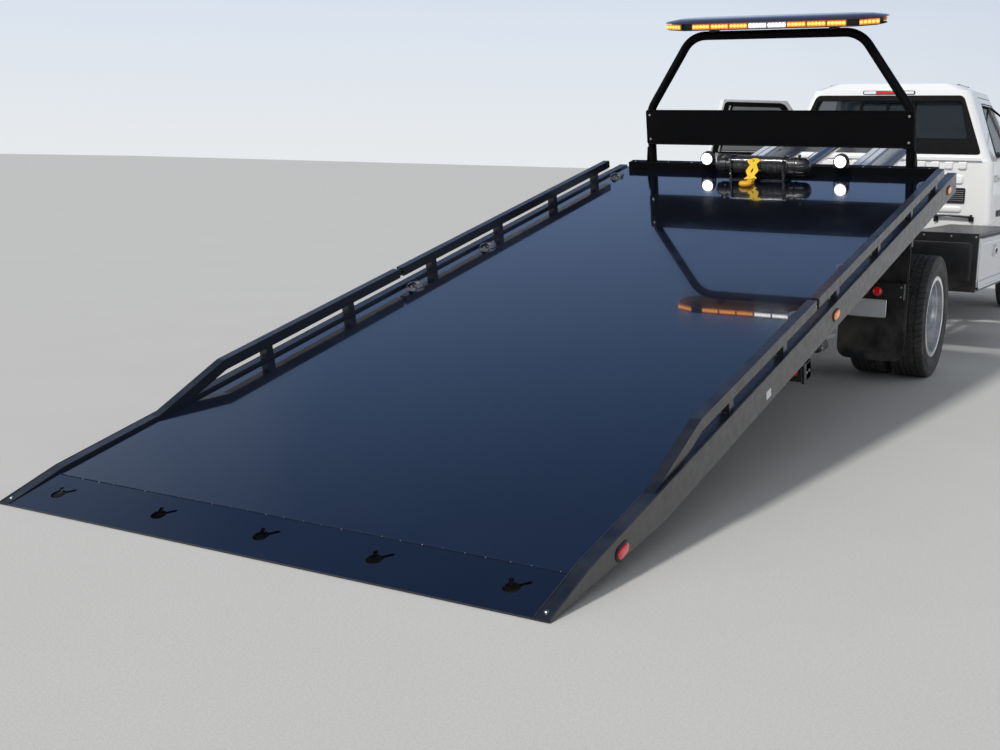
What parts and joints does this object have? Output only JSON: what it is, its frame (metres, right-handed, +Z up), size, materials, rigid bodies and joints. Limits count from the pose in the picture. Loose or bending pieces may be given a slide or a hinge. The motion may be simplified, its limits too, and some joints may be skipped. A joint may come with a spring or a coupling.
{
  "type": "flatbed tow truck",
  "caption": "Rollback flatbed tow truck: a white two-door cab and a glossy black bed that is slid back and tilted to the ground.",
  "frame": {"origin": "on the ground under the middle of the bed's tail edge, with the bed slid back and tilted", "axes": "+X forward along the truck, +Y to the driver's left, +Z up"},
  "size_m": [11.8062, 3.2301, 2.3996],
  "materials": {
    "chassis_black": "satin",
    "bed_black": "gloss",
    "cab_white": "gloss",
    "polished": "polished",
    "steel": "satin",
    "galvanised": "satin",
    "tyre_rubber": "matte",
    "flap_rubber": "matte",
    "window": "gloss",
    "seat_cloth": "matte",
    "trim_plastic": "matte",
    "lamp_lens": "gloss",
    "head_lens": "gloss",
    "cast": "matte",
    "hook_yellow": "satin",
    "box_silver": "satin"
  },
  "bodies": {
    "chassis": {"chassis_frame": "chassis_black", "front_axle": "chassis_black", "rear_axle": "chassis_black", "leaf_springs": "chassis_black", "engine": "cast", "exhaust": "steel", "fuel_tank": "chassis_black", "cab": "cab_white", "cab_glass": "window", "seat_bench": "seat_cloth", "dashboard": "trim_plastic", "steering_wheel": "trim_plastic", "fenders": "cab_white", "grille": "trim_plastic", "headlamps": "head_lens", "bumper": "polished", "side_steps": "trim_plastic", "toolboxes": "chassis_black", "mud_flaps": "flap_rubber", "tail_panels": "chassis_black"},
    "subframe": {"subframe": "galvanised", "slide_barrel": "steel"},
    "bed": {"deck": "bed_black", "side_channels": "bed_black", "bed_frame": "chassis_black", "guard_rails": "bed_black", "headboard": "bed_black", "light_bar": "lamp_lens", "winch": "cast", "winch_hook": "hook_yellow", "bed_lamps": "lamp_lens", "tie_rings": "steel", "slide_rod": "steel"},
    "tilt_barrels": {"tilt_barrels": "chassis_black"},
    "tilt_rods": {"tilt_rods": "steel"},
    "lift_boom": {"lift_boom": "chassis_black"},
    "lift_stinger": {"lift_stinger": "chassis_black"},
    "hood": {"hood": "cab_white"},
    "door_left": {"door_left": "cab_white", "door_glass_left": "window"},
    "toolbox_door_left": {"toolbox_door_left": "box_silver"},
    "knuckle_left": {"knuckle_left": "cast"},
    "front_wheel_left": {"rim_front_left": "polished", "tyre_front_left": "tyre_rubber"},
    "rear_wheels_left": {"rims_rear_left": "polished", "tyres_rear_left": "tyre_rubber"},
    "door_right": {"door_right": "cab_white", "door_glass_right": "window"},
    "toolbox_door_right": {"toolbox_door_right": "box_silver"},
    "knuckle_right": {"knuckle_right": "cast"},
    "front_wheel_right": {"rim_front_right": "polished", "tyre_front_right": "tyre_rubber"},
    "rear_wheels_right": {"rims_rear_right": "polished", "tyres_rear_right": "tyre_rubber"}
  },
  "joints": [
    {"name": "bed_tilt", "type": "hinge", "parent": "chassis", "child": "subframe", "pos_m": [4.63709, 0, 0.76], "axis": [0, 1, 0], "range_deg": [0, 12.8]},
    {"name": "bed_slide", "type": "slide", "parent": "subframe", "child": "bed", "axis": [0.9751, 0, 0.2215], "range_m": [0, 2.74]},
    {"name": "tilt_cylinder_swing", "type": "hinge", "parent": "chassis", "child": "tilt_barrels", "pos_m": [5.93709, 0, 0.43], "axis": [0, 1, 0], "range_deg": [-0.1, 24.36]},
    {"name": "tilt_cylinder_stroke", "type": "slide", "parent": "tilt_barrels", "child": "tilt_rods", "axis": [0.6317, 0, 0.7752], "range_m": [-0.2403, 0.0005]},
    {"name": "lift_raise", "type": "hinge", "parent": "chassis", "child": "lift_boom", "pos_m": [4.80009, 0, 0.5], "axis": [0, 1, 0], "range_deg": [-3, 18]},
    {"name": "lift_extend", "type": "slide", "parent": "lift_boom", "child": "lift_stinger", "axis": [-0.9762, 0, -0.2169], "range_m": [0, 0.45]},
    {"name": "hood_hinge", "type": "hinge", "parent": "chassis", "child": "hood", "pos_m": [10.503, 0, 1.448], "axis": [0, -1, 0], "range_deg": [0, 50]},
    {"name": "door_left_hinge", "type": "hinge", "parent": "chassis", "child": "door_left", "pos_m": [10.283, 0.987, 1.2], "axis": [0, 0, 1], "range_deg": [-10, 55]},
    {"name": "door_right_hinge", "type": "hinge", "parent": "chassis", "child": "door_right", "pos_m": [10.283, -0.987, 1.2], "axis": [0, 0, 1], "range_deg": [0, 65]},
    {"name": "toolbox_door_left_hinge", "type": "hinge", "parent": "chassis", "child": "toolbox_door_left", "pos_m": [7.7, 1.211, 0.49], "axis": [-1, 0, 0], "range_deg": [0, 100]},
    {"name": "steer_left", "type": "hinge", "parent": "chassis", "child": "knuckle_left", "pos_m": [10.85, 0.76, 0.405], "axis": [0, 0, 1], "range_deg": [-35, 35]},
    {"name": "front_wheel_left_spin", "type": "hinge", "parent": "knuckle_left", "child": "front_wheel_left", "pos_m": [10.85, 0.9, 0.405], "axis": [0, 1, 0], "continuous": true},
    {"name": "rear_wheels_left_spin", "type": "hinge", "parent": "chassis", "child": "rear_wheels_left", "pos_m": [5.62, 0.949, 0.405], "axis": [0, 1, 0], "continuous": true},
    {"name": "toolbox_door_right_hinge", "type": "hinge", "parent": "chassis", "child": "toolbox_door_right", "pos_m": [7.7, -1.211, 0.49], "axis": [1, 0, 0], "range_deg": [0, 100]},
    {"name": "steer_right", "type": "hinge", "parent": "chassis", "child": "knuckle_right", "pos_m": [10.85, -0.76, 0.405], "axis": [0, 0, 1], "range_deg": [-35, 35]},
    {"name": "front_wheel_right_spin", "type": "hinge", "parent": "knuckle_right", "child": "front_wheel_right", "pos_m": [10.85, -0.9, 0.405], "axis": [0, 1, 0], "continuous": true},
    {"name": "rear_wheels_right_spin", "type": "hinge", "parent": "chassis", "child": "rear_wheels_right", "pos_m": [5.62, -0.949, 0.405], "axis": [0, 1, 0], "continuous": true}
  ],
  "couplings": [
    {"joint": "tilt_cylinder_swing", "follows": "bed_tilt", "ratio": 1.8953},
    {"joint": "tilt_cylinder_stroke", "follows": "bed_tilt", "m_per_rad": -1.0734},
    {"joint": "steer_right", "follows": "steer_left", "ratio": 1}
  ]
}
